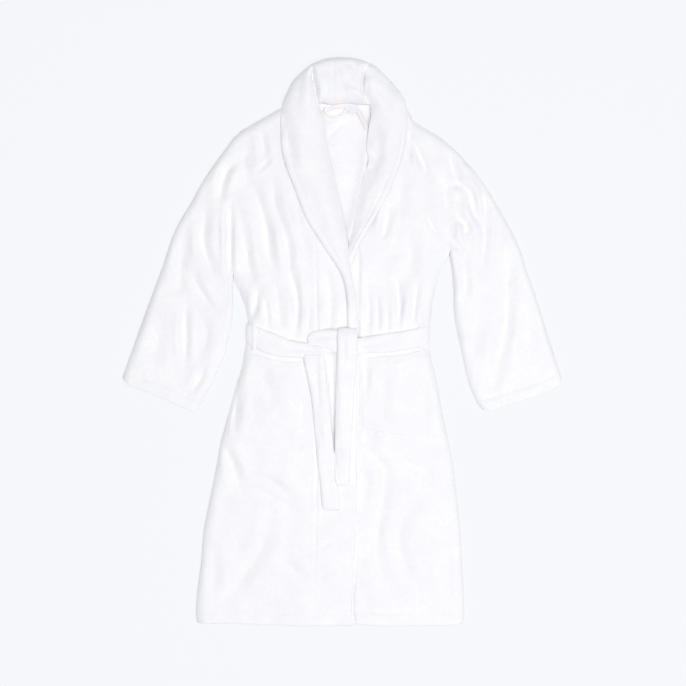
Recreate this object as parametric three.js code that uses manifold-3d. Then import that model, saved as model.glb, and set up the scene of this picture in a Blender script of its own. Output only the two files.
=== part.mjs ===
// A shawl-collar bathrobe of thick towelling, laid flat on its back with the sash tied in front.
// Millimetres. +X is the wearer's left, +Y runs from hem to collar and +Z is up from the surface.
// The origin is on that surface, in the middle of the length and of the span of the sleeves.
import * as THREE from "three";
import { mergeVertices } from "three/addons/utils/BufferGeometryUtils.js";
import Module from "manifold-3d";

const wasm = await Module();
wasm.setup();

// ---- Driving sizes: lengths and widths, measured flat ----
const length = 1247; // top of the collar to the hem
const collarRise = 99; // back neck seam to the top of the collar
const shoulderDrop = 77; // back neck seam to the shoulder tip
const neckToWaist = 521;
const waistToHip = 206;
const lapelDrop = 364; // back neck seam to the point where the lapels meet
const halfShoulder = 237;
const armholeDepth = { right: 323, left: 258 };
const halfWaist = { right: 201, left: 186 };
const halfHip = { right: 262, left: 231 };
const halfHem = { right: 321, left: 268 };
const hemCorner = 14; // radius of the rounded hem corners
const sleeveReach = 436; // middle of the armhole to the middle of the cuff
const sleeveAngle = THREE.MathUtils.degToRad(22); // from the length of the robe
const cuffWidth = 180;
const sleeveFullness = { outer: 54, inner: 44 }; // how far each edge's control point bulges
const frontEdge = 24; // X of the free edge of the overlapping front
const facingWidth = 79; // also the overlap of the two fronts
const centreBack = -16; // X of the seam that joins the two halves of the collar
const seamWidth = 12;
const pocketHeight = 172;
const pocketInner = { right: -86, left: 40 }; // X of the pocket's edge nearest the front
const pocketDrop = 48; // waist to the pocket's mouth
const pocketRim = 9;
const beltWidth = 42;
const tailLength = { upper: 320, lower: 315 };
const loopSection = 6; // diameter of the rolled hanging loop

// ---- Driving sizes: thicknesses and the room inside ----
const backCloth = 6;
const cloth = 5;
const facingCloth = 3;
const pocketCloth = 3;
const beltCloth = 7;
const beltUnder = 4; // the sash where the robe lies on it
const tapeCloth = 1.6;
const collarCloth = 19; // the rolled upper collar
const bodyRoom = 8;
const sleeveRoom = 12;
const pocketRoom = 5;
const gap = 0.3; // between any two pieces

// ---- Places that follow from the sizes ----
const top = length / 2;
const hem = -length / 2;
const neck = top - collarRise;
const shoulder = neck - shoulderDrop;
const underarm = { right: shoulder - armholeDepth.right, left: shoulder - armholeDepth.left };
const waist = neck - neckToWaist;
const hip = waist - waistToHip;
const sign = { right: -1, left: 1 };

// Each level is the underside of a layer, from the surface up.
const leftFacingLow = backCloth + bodyRoom;
const leftFrontLow = leftFacingLow + facingCloth + gap;
const leftFrontTop = leftFrontLow + cloth;
const rightFacingLow = leftFrontTop + gap;
const rightFrontLow = rightFacingLow + facingCloth + gap;
const rightFrontTop = rightFrontLow + cloth;
const beltLow = rightFrontTop + gap;
const beltTop = beltLow + beltCloth;
const lowerTailTop = beltLow + beltCloth - 1;
const pocketDepth = pocketRoom + pocketCloth;
const upperTailLow = Math.max(beltTop, beltLow + pocketDepth) + 1;
const underCollarTop = rightFrontTop + 6;
const collarLow = underCollarTop + gap;
const frontLow = { right: rightFrontLow, left: leftFrontLow };
const frontTop = { right: rightFrontTop, left: leftFrontTop };

// ---- Outlines ----
const vec = ([x, y]) => new THREE.Vector2(x, y);
const curve = (points, steps = 16) => new THREE.SplineCurve(points.map(vec)).getPoints(steps);
const lapelY = (share) => neck - share * lapelDrop;

// Joins runs of points into one outline, without repeating a point where two runs meet.
function outline(...runs) {
  const points = runs.flat().map((p) => (p.isVector2 ? p : vec(p)));
  const kept = points.filter((p, i) => i === 0 || p.distanceTo(points[i - 1]) > 0.05);
  if (kept[0].distanceTo(kept[kept.length - 1]) < 0.05) kept.pop();
  return kept;
}

// The outline of a strip of even or tapering width along a line of points.
function band(points, startWidth, endWidth = startWidth, steps = 16) {
  const line = new THREE.SplineCurve(points.map(vec));
  const edge = (side) =>
    Array.from({ length: steps + 1 }, (_, i) => {
      const t = i / steps;
      const along = line.getTangent(t);
      const half = (side * THREE.MathUtils.lerp(startWidth, endWidth, t)) / 2;
      const p = line.getPoint(t);
      return new THREE.Vector2(p.x - along.y * half, p.y + along.x * half);
    });
  return outline(edge(1), edge(-1).reverse());
}

// The side of the body, from the underarm down to the hem corner.
function sideLine(side, inset = 0) {
  const s = sign[side];
  return curve(
    [
      [s * (halfShoulder - inset), underarm[side]],
      [s * (halfWaist[side] - inset), waist],
      [s * (halfHip[side] - inset), hip],
      [s * (halfHem[side] - inset), hem + hemCorner],
    ],
    24,
  );
}

// X of the side of the body at a height.
function sideX(side, y, inset = 0) {
  const points = sideLine(side, inset);
  const i = points.findIndex((p) => p.y <= y);
  const [a, b] = [points[i - 1], points[i]];
  return a.x + ((b.x - a.x) * (a.y - y)) / (a.y - b.y);
}

// The furthest that the side of the body reaches between two heights.
function widest(side, low, high) {
  const between = sideLine(side).filter((p) => p.y > low && p.y < high);
  const reach = [...between.map((p) => p.x), sideX(side, low), sideX(side, high)];
  return Math.max(...reach.map(Math.abs));
}

// The shoulder, from the neck out to the shoulder tip.
function shoulderLine(side, inset = 0) {
  const s = sign[side];
  const start = side === "right" ? -36 : 60;
  return curve(
    [
      [start, neck - inset],
      [s * halfShoulder * 0.55, neck - shoulderDrop * 0.21 - inset],
      [s * halfShoulder * 0.8, neck - shoulderDrop * 0.61 - inset],
      [s * halfShoulder, shoulder - inset],
    ],
    8,
  );
}

// The round corner between the side and the hem, and the hem as far as x.
function hemLine(side, x) {
  const s = sign[side];
  const corner = new THREE.EllipseCurve(
    s * (halfHem[side] - hemCorner),
    hem + hemCorner,
    hemCorner,
    hemCorner,
    s > 0 ? 0 : Math.PI,
    -Math.PI / 2,
    s > 0,
  );
  if (s < 0) corner.aEndAngle = 1.5 * Math.PI;
  return [...corner.getPoints(4), new THREE.Vector2(x, hem)];
}

// The inner edge of a lapel, where it rolls over, from the neck seam down.
const rollLine = {
  right: curve([[-36, neck], [-30, lapelY(0.08)], [-12, lapelY(0.3)], [9, lapelY(0.6)], [17, lapelY(0.95)]], 12),
  left: curve([[60, neck], [56, lapelY(0.2)], [46, lapelY(0.42)], [30, lapelY(0.7)], [21, lapelY(0.93)]], 12),
};

// The outer edge of each half of the collar, from the centre back seam round to the lapel's point.
function collarEdge(side, inset) {
  const i = inset;
  const points =
    side === "right"
      ? [
          [centreBack, top - i],
          [-70 + i, top - 17 - i],
          [-112 + i, top - 58],
          [-130 + i, lapelY(0.05)],
          [-128 + i, lapelY(0.26)],
          [-100 + i, lapelY(0.54)],
          [-52 + i, lapelY(0.8)],
          [frontEdge - i, lapelY(1.15)],
        ]
      : [
          [centreBack, top - i],
          [29, top - 1.5 - i],
          [75 - i, top - 18 - i],
          [115 - i, top - 62],
          [141 - i, lapelY(0.05)],
          [143 - i, lapelY(0.2)],
          [120 - i, lapelY(0.45)],
          [85 - i, lapelY(0.68)],
          [28, lapelY(0.97)],
        ];
  return curve(points, 36).map((p) => new THREE.Vector2(p.x, Math.min(p.y, top - i)));
}

function collarOutline(side, inset = 0) {
  const s = sign[side];
  const seam = centreBack + (s * gap) / 2;
  const edge = collarEdge(side, inset);
  edge[0].x = seam;
  return outline(edge, [...rollLine[side]].reverse(), [[seam, neck]]);
}

function frontOutline(side) {
  const s = sign[side];
  const free = side === "right" ? frontEdge : frontEdge - facingWidth;
  const start = side === "right" ? lapelY(1.15) : lapelY(1.3);
  return outline(
    shoulderLine(side),
    [[s * halfShoulder, underarm[side]]],
    sideLine(side),
    hemLine(side, free),
    [[free, start]],
    [...rollLine[side]].reverse(),
  );
}

function backOutline() {
  return outline(
    shoulderLine("right"),
    sideLine("right"),
    hemLine("right", 0),
    [...hemLine("left", 0)].reverse(),
    [...sideLine("left")].reverse(),
    [...shoulderLine("left")].reverse(),
  );
}

// A sleeve lies between the armhole and a cuff square to its length. Inset narrows it all round,
// and overrun runs it on past both open ends.
function sleeveOutline(side, inset = 0, overrun = 0) {
  const s = sign[side];
  const armhole = s * (halfShoulder + 2 * gap - overrun);
  const middle = vec([s * halfShoulder, shoulder - armholeDepth.right / 2]);
  const along = vec([s * Math.sin(sleeveAngle), -Math.cos(sleeveAngle)]);
  const across = vec([s * Math.cos(sleeveAngle), Math.sin(sleeveAngle)]);
  const cuff = middle.clone().addScaledVector(along, sleeveReach + overrun);
  const outer = cuff.clone().addScaledVector(across, cuffWidth / 2 - inset);
  const inner = cuff.clone().addScaledVector(across, inset - cuffWidth / 2);
  const tip = vec([armhole, shoulder - 1 - inset]);
  const pit = vec([armhole, underarm[side] + inset]);
  const bulged = (a, b, reach) => {
    const chord = b.clone().sub(a).normalize();
    const control = a.clone().add(b).multiplyScalar(0.5);
    control.addScaledVector(vec([-s * chord.y, s * chord.x]), reach);
    return new THREE.QuadraticBezierCurve(a, control, b).getPoints(10);
  };
  return outline(
    bulged(tip, outer, sleeveFullness.outer),
    bulged(inner, pit, sleeveFullness.inner),
  );
}

function pocketOutline(side, inset = 0, overrun = 0) {
  const s = sign[side];
  const high = waist - pocketDrop;
  const low = high - pocketHeight + inset;
  const outerEdge = Array.from({ length: 5 }, (_, i) => {
    const y = THREE.MathUtils.lerp(high, low, i / 4);
    return vec([sideX(side, y, 10 + inset), y]);
  });
  const inner = pocketInner[side] + s * inset;
  const mouth = [[inner, high + overrun], [outerEdge[0].x, high + overrun]];
  return outline(mouth, outerEdge, [[inner, low]]);
}

// A rounded strip from a pivot towards a direction, used for the ends of the sash.
function tailOutline(pivot, reach, angle, width) {
  const half = width / 2;
  const along = vec([Math.sin(angle), -Math.cos(angle)]);
  const across = vec([Math.cos(angle), Math.sin(angle)]);
  const turn = Array.from({ length: 9 }, (_, i) => {
    const a = (i / 8) * Math.PI;
    return pivot.clone()
      .addScaledVector(across, half * Math.cos(a))
      .addScaledVector(along, -half * Math.sin(a));
  });
  const corner = 7;
  const at = (u, v) => pivot.clone().addScaledVector(across, u).addScaledVector(along, v);
  return outline(turn, [
    at(-half, reach - corner),
    at(corner - half, reach),
    at(half - corner, reach),
    at(half, reach - corner),
  ]);
}

// ---- Solids ----
function plate(points, low, high) {
  const geometry = new THREE.ExtrudeGeometry(new THREE.Shape(points), {
    depth: high - low,
    bevelEnabled: false,
  });
  return geometry.translate(0, 0, low);
}

const block = (x, y, z) =>
  new THREE.BoxGeometry(x[1] - x[0], y[1] - y[0], z[1] - z[0]).translate(
    (x[0] + x[1]) / 2,
    (y[0] + y[1]) / 2,
    (z[0] + z[1]) / 2,
  );

// A closed geometry as a solid that can be cut or joined.
function solid(geometry) {
  const bare = geometry.index ? geometry.toNonIndexed() : geometry.clone();
  bare.deleteAttribute("normal");
  bare.deleteAttribute("uv");
  const merged = mergeVertices(bare, 1e-3);
  return new wasm.Manifold(
    new wasm.Mesh({
      numProp: 3,
      vertProperties: merged.attributes.position.array,
      triVerts: new Uint32Array(merged.index.array),
    }),
  );
}

function geometryOf(made) {
  const mesh = made.getMesh();
  const geometry = new THREE.BufferGeometry();
  geometry.setAttribute("position", new THREE.BufferAttribute(mesh.vertProperties, 3));
  geometry.setIndex(new THREE.BufferAttribute(mesh.triVerts, 1));
  geometry.computeVertexNormals();
  return geometry;
}

// ---- Materials ----
const towelling = new THREE.MeshStandardMaterial({ color: 0xfbfafd, roughness: 0.95, metalness: 0 });
const sashCloth = new THREE.MeshStandardMaterial({ color: 0xfaf9fc, roughness: 0.95, metalness: 0 });
const tapeWeave = new THREE.MeshStandardMaterial({ color: 0xf6f1f0, roughness: 0.8, metalness: 0 });
const labelSatin = new THREE.MeshStandardMaterial({ color: 0xf4f4f6, roughness: 0.4, metalness: 0 });

const robe = new THREE.Group();
function piece(name, geometry, material = towelling) {
  const mesh = new THREE.Mesh(geometry, material);
  mesh.name = name;
  robe.add(mesh);
  return mesh;
}

// ---- Back: one panel, hollowed underneath where it lies on the sash ----
const sashBand = (x0, x1, extra) =>
  block([x0, x1], [waist - beltWidth / 2 - extra, waist + beltWidth / 2 + extra], [-1, beltUnder + gap]);
const backSlab = solid(plate(backOutline(), 0, backCloth));
const backHollow = solid(sashBand(-2 * halfWaist.right, 2 * halfWaist.left, gap));
piece("back_panel", geometryOf(backSlab.subtract(backHollow)));

// ---- Fronts, with the facing that turns back inside each free edge ----
for (const side of ["right", "left"]) {
  const low = frontLow[side];
  piece(side + "_front", plate(frontOutline(side), low, low + cloth));
  const facingTop = low - gap;
  const lapelFoot = side === "right" ? lapelY(1.15) : lapelY(1.3);
  piece(
    side + "_front_facing",
    block([frontEdge - facingWidth, frontEdge], [hem, lapelFoot], [facingTop - facingCloth, facingTop]),
  );
}

// ---- Shoulder and side seams: the bound seam allowances between front and back ----
for (const side of ["right", "left"]) {
  const [low, high] = [backCloth + gap, frontLow[side] - gap];
  const sideSeam = outline(sideLine(side), [...sideLine(side, seamWidth)].reverse());
  piece(side + "_side_seam", plate(sideSeam, low, high));
  const beyond = (p) => Math.abs(p.x) > halfShoulder * 0.3;
  const shoulderSeam = outline(
    shoulderLine(side).filter(beyond),
    shoulderLine(side, seamWidth).filter(beyond).reverse(),
  );
  piece(side + "_shoulder_seam", plate(shoulderSeam, low, high));
}

// ---- Collar: an upper and an under layer for each half, joined at the centre back ----
for (const side of ["right", "left"]) {
  const under = collarOutline(side, 6);
  const lapel = solid(plate(under, frontTop[side] + gap, underCollarTop));
  const behindNeck = solid(block([-halfShoulder, halfShoulder], [neck + 4, top + 1], [0, underCollarTop]));
  const stand = solid(plate(under, 0, underCollarTop)).intersect(behindNeck);
  piece(side + "_under_collar", geometryOf(lapel.add(stand)));
  piece(side + "_collar", plate(collarOutline(side), collarLow, collarLow + collarCloth));
}

// ---- Sleeves: flattened tubes, open at the armhole and at the cuff ----
const sleeveTop = 2 * cloth + sleeveRoom;
for (const side of ["right", "left"]) {
  const shell = solid(plate(sleeveOutline(side), 0, sleeveTop));
  const bore = solid(plate(sleeveOutline(side, seamWidth, 40), cloth, cloth + sleeveRoom));
  piece(side + "_sleeve", geometryOf(shell.subtract(bore)));
}

// ---- Patch pockets: sewn down on three sides and open at the mouth ----
for (const side of ["right", "left"]) {
  const low = frontTop[side] + gap;
  const outer = solid(plate(pocketOutline(side), low, low + pocketDepth));
  const inside = solid(plate(pocketOutline(side, pocketRim, 20), low - 1, low + pocketRoom));
  piece(side + "_pocket", geometryOf(outer.subtract(inside)));
}

// ---- Sash: under the back, up round each side, and across the front to the knot ----
const wrapY = [waist - beltWidth / 2 + 6, waist + beltWidth / 2 + 6];
const wrapX = { right: widest("right", ...wrapY) + gap, left: widest("left", ...wrapY) + gap };
piece(
  "belt_back_span",
  block([-wrapX.right, wrapX.left], [waist - beltWidth / 2, waist + beltWidth / 2], [0, beltUnder]),
  sashCloth,
);
const spanLine = {
  right: [
    [-wrapX.right, waist + 12],
    [-0.72 * wrapX.right, waist - 13],
    [-0.45 * wrapX.right, waist - 29],
    [-20, waist - 28],
  ],
  left: [
    [37, waist - 13],
    [0.48 * wrapX.left, waist - 7],
    [0.8 * wrapX.left, waist + 4],
    [wrapX.left, waist + 9],
  ],
};
const spanWidth = { right: [beltWidth, 26], left: [beltWidth - 4, beltWidth] };
for (const side of ["right", "left"]) {
  const s = sign[side];
  const across = solid(plate(band(spanLine[side], ...spanWidth[side]), beltLow, beltTop));
  const x = [s * (wrapX[side] + gap), s * (wrapX[side] + gap + beltCloth)].sort((a, b) => a - b);
  const wrap = solid(block(x, wrapY, [0, beltTop]));
  const reach = [Math.min(x[0], s * wrapX[side]), Math.max(x[1], s * wrapX[side])];
  const lap = solid(block(reach, wrapY, [beltLow, beltTop]));
  piece("belt_" + side + "_span", geometryOf(across.add(lap).add(wrap)), sashCloth);
}

// The knot is a lobe beside the strand that comes over the top.
const knotLobe = [[-44, waist + 20], [-12 - gap, waist + 17], [-12 - gap, waist - 14], [-58, waist + 6]];
piece("belt_knot", plate(knotLobe.map(vec), beltLow, beltTop), sashCloth);
const knotStrand = [[-12, waist + 24], [33, waist + 24], [33, waist - 30], [-12, waist - 30]];
piece("belt_knot_strand", plate(knotStrand.map(vec), beltLow, beltTop), sashCloth);

// ---- Free ends of the sash, each turning about the point where it leaves the knot ----
const pivot = { upper: vec([11, waist - 4]), lower: vec([-50, waist - 26 - beltWidth]) };
const tailAngle = { upper: THREE.MathUtils.degToRad(-2.5), lower: THREE.MathUtils.degToRad(5.5) };
const upperTail = tailOutline(pivot.upper, tailLength.upper, tailAngle.upper, beltWidth);
piece("belt_upper_tail", plate(upperTail, upperTailLow, upperTailLow + beltCloth - 1), sashCloth);
const lowerTail = tailOutline(pivot.lower, tailLength.lower, tailAngle.lower, beltWidth);
piece("belt_lower_tail", plate(lowerTail, beltLow, lowerTailTop), sashCloth);

// ---- Belt loops: narrow strips over the sash at the side seams ----
for (const side of ["right", "left"]) {
  const s = sign[side];
  const middle = s * (halfWaist[side] - 12);
  const low = frontTop[side] + gap;
  const high = beltTop + gap;
  const reach = [waist - beltWidth / 2 - 8, waist + beltWidth / 2 + 24];
  const x = [middle - 5, middle + 5];
  const staple = solid(block(x, reach, [low, high + 2]));
  const under = solid(block([x[0] - 1, x[1] + 1], [reach[0] + 3, reach[1] - 3], [low - 1, high]));
  piece(side + "_belt_loop", geometryOf(staple.subtract(under)));
}

// ---- Inside the neck: tape over the seam, hanging loop and label ----
const tapeLine = [[-46, neck - 24], [-18, neck - 9], [26, neck - 8], [44, neck - 22], [60, neck - 62]];
piece("neck_tape", plate(band(tapeLine, seamWidth), backCloth + gap, backCloth + gap + tapeCloth), tapeWeave);

const loopCentre = backCloth + 2 * gap + tapeCloth + loopSection / 2;
const loopPath = new THREE.CatmullRomCurve3(
  [[-29, -6], [-29, -18], [-21, -28], [-8, -32], [3, -26], [8, -14], [8, -5]].map(
    ([x, y]) => new THREE.Vector3(x, neck + y, loopCentre),
  ),
);
const loopRing = new THREE.Shape(
  Array.from({ length: 8 }, (_, i) => {
    const a = ((i + 0.5) * Math.PI) / 4;
    return vec([(Math.cos(a) * loopSection) / 2, (Math.sin(a) * loopSection) / 2]);
  }),
);
piece(
  "hanging_loop",
  new THREE.ExtrudeGeometry(loopRing, { steps: 20, bevelEnabled: false, extrudePath: loopPath }),
);

const labelLow = backCloth + 2 * gap + tapeCloth;
piece("neck_label", block([13, 37], [neck - 22, neck - 3], [labelLow, labelLow + 1]), labelSatin);

// ---- Care label: inside, sewn into the left side seam ----
const careX = halfWaist.left - seamWidth - 1;
piece(
  "care_label",
  block([careX - 30, careX], [waist - 120, waist - 60], [backCloth + gap, backCloth + gap + 1]),
  labelSatin,
);

export default robe;
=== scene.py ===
# %% [markdown]
# # A plush bathrobe, laid flat
# The robe lies on its back with its sash tied. Every panel is a piece of cloth that was cut flat, so
# every piece here starts as a flat grid. The grid is laid onto a curved skin, and then thickened.
# All places are in millimetres in the part's own frame: +X to the wearer's left, +Y to the collar, +Z up.

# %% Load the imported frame
import math

import bmesh
import bpy
import numpy as np
from mathutils import Matrix, Vector, noise
from mathutils.bvhtree import BVHTree


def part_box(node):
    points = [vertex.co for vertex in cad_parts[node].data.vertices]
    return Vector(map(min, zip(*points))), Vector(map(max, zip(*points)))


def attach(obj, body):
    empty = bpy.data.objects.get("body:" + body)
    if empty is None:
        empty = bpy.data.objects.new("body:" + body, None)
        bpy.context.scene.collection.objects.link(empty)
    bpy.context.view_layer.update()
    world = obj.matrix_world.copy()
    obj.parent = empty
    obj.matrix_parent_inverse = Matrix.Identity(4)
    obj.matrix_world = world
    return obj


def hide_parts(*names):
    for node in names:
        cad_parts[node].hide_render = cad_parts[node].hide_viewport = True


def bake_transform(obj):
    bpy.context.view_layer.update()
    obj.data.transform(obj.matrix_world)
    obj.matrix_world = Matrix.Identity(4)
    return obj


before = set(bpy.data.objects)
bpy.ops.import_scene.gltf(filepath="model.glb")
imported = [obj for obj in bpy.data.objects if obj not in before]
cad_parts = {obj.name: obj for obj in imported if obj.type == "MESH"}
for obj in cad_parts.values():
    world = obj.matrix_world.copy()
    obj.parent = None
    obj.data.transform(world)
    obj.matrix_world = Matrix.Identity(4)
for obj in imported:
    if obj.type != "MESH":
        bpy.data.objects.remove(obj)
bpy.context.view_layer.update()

MM = 0.001


def box_mm(node):
    """The lowest and highest corners of a CAD node, in millimetres."""
    return [np.array(corner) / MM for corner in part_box(node)]


# %% [markdown]
# ## The sizes that the pieces share
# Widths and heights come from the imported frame, so each cloth lies where its solid does. The seams
# between panels are kept as named values, because two pieces have to meet on each of them.

# %% Shared sizes
NECK = box_mm("back_panel")[1][1]  # Y of the back neck seam
HEM = box_mm("back_panel")[0][1]  # Y of the hem
WAIST = np.mean([box_mm("belt_back_span")[k][1] for k in (0, 1)])  # Y of the sash's middle line
ARMHOLE = 237.0  # X of each armhole, where sleeve meets body
PILE = 4.6  # thickness of one layer of plush
THINNEST = 0.3  # what a layer thins to at a rounded edge
EDGE_ROUND = 3.2  # radius of the rounded edges of a single layer
HEM_BAND = 26.0  # depth of the turned hems
RIGHT_TOP = box_mm("right_front")[1][2] - 1  # how high the cloth of each front lies
LEFT_TOP = box_mm("left_front")[1][2] - 0.3
SLEEVE_TOP = 26.0  # how high a sleeve's cloth lies
print("neck seam", round(NECK), "hem", round(HEM), "waist", round(WAIST))

# %% [markdown]
# ## Curves and patches
# A panel of cloth has four sides. A Coons patch fills the area between four curves with an even grid,
# and follows each curve exactly, which suits a garment: its outline is what the eye checks first.


# %% Curves and patches
def resample(points, count):
    """The same line with evenly spaced points."""
    steps = np.linalg.norm(np.diff(points, axis=0), axis=1)
    run = np.concatenate([[0], np.cumsum(steps)])
    where = np.linspace(0, run[-1], count)
    return np.column_stack([np.interp(where, run, points[:, k]) for k in range(points.shape[1])])


def curve(*points, count=240):
    """A soft curve through a few points (Catmull-Rom)."""
    p = np.array(points, float)
    if len(p) == 2:
        return resample(p, count)
    q = np.vstack([2 * p[0] - p[1], p, 2 * p[-1] - p[-2]])
    t = np.linspace(0, 1, 16, endpoint=False)[:, None]
    spans = [
        0.5 * (2 * b + (c - a) * t + (2 * a - 5 * b + 4 * c - d) * t**2 + (3 * b - a - 3 * c + d) * t**3)
        for a, b, c, d in zip(q, q[1:], q[2:], q[3:])
    ]
    return resample(np.vstack(spans + [p[-1:]]), count)


def at(line, shares):
    """The places at shares of a line's length."""
    index = np.asarray(shares) * (len(line) - 1)
    whole = np.arange(len(line))
    return np.stack([np.interp(index, whole, line[:, k]) for k in range(line.shape[1])], axis=-1)


def spaced(length, cell):
    """Shares from 0 to 1 in even cells, with finer ones next to both ends for a rounded edge."""
    near = np.array([0, 0.5, 1.3, 2.5, 4.2])
    middle = np.linspace(near[-1], length - near[-1], max(3, round((length - 2 * near[-1]) / cell)))
    return np.concatenate([near[:-1], middle, (length - near[:-1])[::-1]]) / length


def patch(left, right, cell, top=None, bottom=None):
    """A grid of places between two side curves, which both run from the top to the bottom."""
    top = curve(left[0], right[0]) if top is None else top
    bottom = curve(left[-1], right[-1]) if bottom is None else bottom
    length = max(np.linalg.norm(np.diff(side, axis=0), axis=1).sum() for side in (left, right))
    width = np.linalg.norm(left - right, axis=1).max()
    v = spaced(length, cell)[:, None, None]
    u = spaced(width, cell)[None, :, None]
    corners = (1 - v) * ((1 - u) * left[0] + u * right[0]) + v * ((1 - u) * left[-1] + u * right[-1])
    sides = (1 - u) * at(left, v[:, 0, 0])[:, None] + u * at(right, v[:, 0, 0])[:, None]
    ends = (1 - v) * at(top, u[0, :, 0])[None] + v * at(bottom, u[0, :, 0])[None]
    return sides + ends - corners


def runs(plan):
    """How far each place is from the left, right, top and bottom sides, along the grid."""
    across = np.linalg.norm(np.diff(plan, axis=1), axis=2)
    along = np.linalg.norm(np.diff(plan, axis=0), axis=2)
    left = np.pad(np.cumsum(across, 1), ((0, 0), (1, 0)))
    top = np.pad(np.cumsum(along, 0), ((1, 0), (0, 0)))
    return left, left[:, -1:] - left, top, top[-1:] - top


def round_over(distance, radius):
    """0 at an edge and 1 from a radius inwards, along a quarter circle."""
    inner = 1 - np.clip(distance / radius, 0, 1)
    return np.sqrt(1 - inner**2)


def ease(x, low, high):
    """0 below low, 1 above high, and a smooth step between."""
    t = np.clip((x - low) / (high - low), 0, 1)
    return t * t * (3 - 2 * t)


def smoothed(heights, count):
    """Heights averaged down each column of a grid, over an odd count of places."""
    kernel = np.ones(count) / count
    half = count // 2
    return np.apply_along_axis(
        lambda v: np.convolve(np.pad(v, half, mode="edge"), kernel, "valid"), 0, heights
    )


# %% [markdown]
# ## Folds
# Plush is thick, so it doesn't crumple. It makes long soft valleys with a swollen lip on each side.
# Each fold is a line drawn over the cloth, with a half-width and a depth. A negative depth is a ridge.
# Drawing them one by one puts each fold where the cloth pulls: from the armholes, the collar and the knot.


# %% The shape of a fold
def distance_to(line, x, y):
    """How far places are from a line, and how far along it the nearest point is, from 0 to 1."""
    best = np.full(x.shape, np.inf)
    share = np.zeros(x.shape)
    for k, (a, b) in enumerate(zip(line[:-1], line[1:])):
        d = b - a
        t = np.clip(((x - a[0]) * d[0] + (y - a[1]) * d[1]) / (d @ d), 0, 1)
        away = np.hypot(x - a[0] - t * d[0], y - a[1] - t * d[1])
        closer = away < best
        best = np.where(closer, away, best)
        share = np.where(closer, (k + t) / (len(line) - 1), share)
    return best, share


def fold_heights(x, y, folds):
    """The height that a list of folds adds at each place."""
    total = np.zeros(x.shape)
    for path, width, depth in folds:
        line = curve(*path, count=20)
        reach = 4 * width
        near = (x > line[:, 0].min() - reach) & (x < line[:, 0].max() + reach)
        near &= (y > line[:, 1].min() - reach) & (y < line[:, 1].max() + reach)
        if not near.any():
            continue
        away, share = distance_to(line, x[near], y[near])
        r = away / width
        fade = np.sin(np.pi * np.clip(share, 0.03, 0.97)) ** 0.7
        valley = -np.exp(-1.2 * r**1.7) + 0.4 * np.exp(-(((r - 1.9) / 0.9) ** 2))
        total[near] += depth * fade * valley
    return total


def lumps(x, y, size, height, seed, stretch=1.0):
    """Gentle uneven swelling, from smooth noise. Stretch above 1 draws it out along the robe."""
    flat = [
        noise.noise(Vector((a / size, b / (size * stretch), seed)))
        for a, b in zip(x.ravel(), y.ravel())
    ]
    return height * np.array(flat).reshape(x.shape)


# %% [markdown]
# ## From a skin to a closed piece of cloth
# The skin is the outer face of the cloth. `create_grid` makes it, `extrude_face_region` copies it and
# builds the walls round the rim, and the first copy is moved inwards by the thickness. A Solidify
# modifier could do this too, but here the cloth thins to almost nothing at a rounded edge.


# %% Cloth from a skin
def skin_normals(skin):
    """The direction that the skin faces at each place, which is upwards on the whole."""
    across = np.gradient(skin, axis=1)
    along = np.gradient(skin, axis=0)
    normal = np.cross(along, across)
    normal /= np.maximum(np.linalg.norm(normal, axis=2, keepdims=True), 1e-9)
    return normal * np.sign(normal[..., 2].mean())


def finish_mesh(bm, name, material):
    """Turns a bmesh into an object with smooth faces, which point outwards."""
    if bm.calc_volume(signed=True) < 0:
        bmesh.ops.reverse_faces(bm, faces=bm.faces)
    mesh = bpy.data.meshes.new(name)
    bm.to_mesh(mesh)
    bm.free()
    mesh.shade_smooth()
    mesh.materials.append(material)
    made = bpy.data.objects.new(name, mesh)
    bpy.context.collection.objects.link(made)
    area = sum(p.area for p in mesh.polygons)
    print(f"{name}: {len(mesh.polygons)} faces, {area:.4f} square metres of surface")
    return made


def cloth(name, skin, thickness, material, ring=False, inside=None):
    """A closed sheet of cloth with the given outer skin, in mm.

    The inner skin is a thickness below it, or is given as inside. A ring's first and last columns meet."""
    rows, columns = skin.shape[:2]
    if inside is None:
        inside = skin - skin_normals(skin) * np.broadcast_to(thickness, skin.shape[:2])[..., None]
    outer, inner = skin.reshape(-1, 3) * MM, inside.reshape(-1, 3) * MM
    bm = bmesh.new()
    bmesh.ops.create_grid(bm, x_segments=columns - 1, y_segments=rows - 1, size=1)
    place = bm.verts.layers.int.new("place")
    for v in bm.verts:
        column = round((v.co.x + 1) / 2 * (columns - 1))
        row = round((1 - v.co.y) / 2 * (rows - 1))
        v[place] = row * columns + column
    copied = bmesh.ops.extrude_face_region(bm, geom=bm.faces[:], use_keep_orig=True)
    top = {v for v in copied["geom"] if isinstance(v, bmesh.types.BMVert)}
    for v in bm.verts:
        v.co = outer[v[place]] if v in top else inner[v[place]]
    if ring:
        walls = [f for f in bm.faces if {v[place] % columns for v in f.verts} in ({0}, {columns - 1})]
        bmesh.ops.delete(bm, geom=walls, context="FACES")
        bmesh.ops.remove_doubles(bm, verts=bm.verts, dist=1e-6)
    bmesh.ops.recalc_face_normals(bm, faces=bm.faces)
    return finish_mesh(bm, name, material)


def skin_from(plan, height):
    """A skin from a plan and the height at each of its places."""
    return np.dstack([plan[..., 0], plan[..., 1], height])


def plan_area(plan):
    """The area of a plan in square metres, which is what its cloth was cut to."""
    a, b = np.diff(plan, axis=1)[:-1], np.diff(plan, axis=0)[:, :-1]
    return np.abs(a[..., 0] * b[..., 1] - a[..., 1] * b[..., 0]).sum() * MM * MM


# %% [markdown]
# ## Materials
# Colours are written as sRGB hex values, as a picker shows them, and one function turns them to the
# linear values that the shader works in.


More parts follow.
